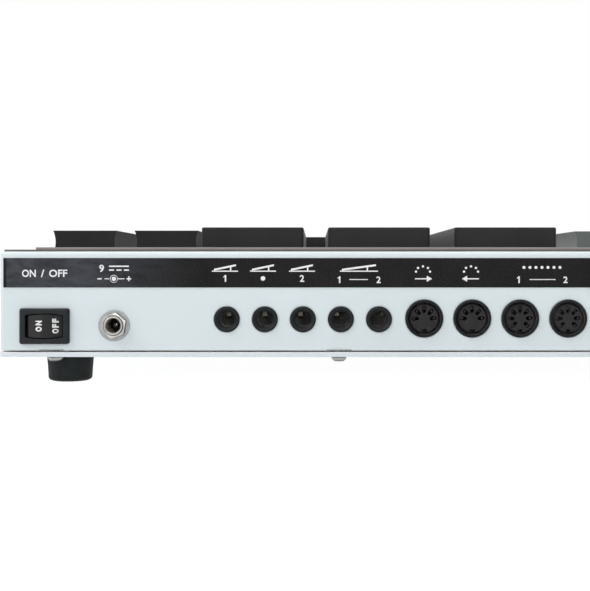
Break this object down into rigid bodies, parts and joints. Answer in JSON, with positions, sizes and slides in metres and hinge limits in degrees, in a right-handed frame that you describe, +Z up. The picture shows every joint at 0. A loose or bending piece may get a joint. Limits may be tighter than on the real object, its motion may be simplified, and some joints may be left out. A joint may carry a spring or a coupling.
{
  "type": "midi mallet controller",
  "caption": "Low flared sheet-metal case with rows of rubber strike pads on its deck, rubber feet below and a rear panel of audio and data sockets, power inlet and rocker switch.",
  "frame": {"origin": "centre of the whole outline's box, at the bottom of the rubber feet", "axes": "+X towards the treble end, +Y towards the rear panel with the sockets, +Z up"},
  "size_m": [0.8954, 0.3762, 0.0672],
  "materials": {
    "case_paint": "fine textured pale blue-grey paint",
    "zinc_steel": "zinc plated, satin",
    "laminate_brown": "thin brown laminate",
    "overlay_beige": "satin",
    "sensor_film": "printed film",
    "label_black": "glossy black film with white print",
    "switch_black": "moulded, semi-gloss",
    "socket_black": "moulded, satin",
    "bevel_grey": "moulded, satin",
    "nickel": "nickel plated",
    "contact_brass": "plated",
    "pad_rubber": "matte black",
    "gap_rubber": "matte grey",
    "foot_rubber": "matte black",
    "circuit_green": "solder mask",
    "chip_black": "moulded epoxy",
    "cable_grey": "flat cable",
    "lead_black": "insulated wire",
    "window_clear": "clear",
    "display_glass": "green-grey"
  },
  "bodies": {
    "root": {"top_cover": "case_paint", "bottom_plate": "case_paint", "deck_rails": "zinc_steel", "case_screws": "zinc_steel", "clinch_nuts": "zinc_steel", "sensor_board": "laminate_brown", "overlay_sheet": "overlay_beige", "force_sensors": "sensor_film", "sensor_tails": "sensor_film", "label_strip": "label_black", "switch_body": "switch_black", "switch_terminals": "contact_brass", "pedal_jack_housings": "socket_black", "pedal_jack_contacts": "nickel", "din_bodies": "socket_black", "din_inserts": "bevel_grey", "din_contacts": "contact_brass", "jack_board": "circuit_green", "main_board": "circuit_green", "main_chips": "chip_black", "board_headers": "socket_black", "board_standoffs": "nickel", "board_screws": "zinc_steel", "lcd_spacers": "nickel", "ribbon_cable": "cable_grey", "lcd_cable": "cable_grey", "power_leads": "lead_black", "natural_pads": "pad_rubber", "accidental_pads": "pad_rubber", "function_pads": "pad_rubber", "gap_pads": "gap_rubber", "feet": "foot_rubber", "foot_washers": "zinc_steel", "foot_screws": "zinc_steel", "foot_nuts": "zinc_steel", "dc_jack_body": "socket_black", "dc_jack_bushing": "nickel", "dc_jack_washer": "nickel", "dc_jack_nut": "nickel", "dc_jack_pin": "nickel", "dc_jack_contact": "nickel", "lcd_window": "window_clear", "lcd_frame": "zinc_steel", "lcd_glass": "display_glass", "lcd_board": "circuit_green"},
    "rocker": {"switch_rocker": "switch_black", "rocker_plunger": "bevel_grey", "rocker_spring": "zinc_steel"},
    "seesaw": {"seesaw_contact": "contact_brass"}
  },
  "joints": [
    {"name": "rocker_tilt", "type": "hinge", "parent": "root", "child": "rocker", "pos_m": [0.3893, 0.18225, 0.025], "axis": [0, 0, -1], "range_deg": [0, 20]},
    {"name": "seesaw_tilt", "type": "hinge", "parent": "root", "child": "seesaw", "pos_m": [0.3893, 0.17675, 0.025], "axis": [0, 0, -1], "range_deg": [-10, 0]}
  ],
  "couplings": [
    {"joint": "seesaw_tilt", "follows": "rocker_tilt", "ratio": -0.5}
  ]
}
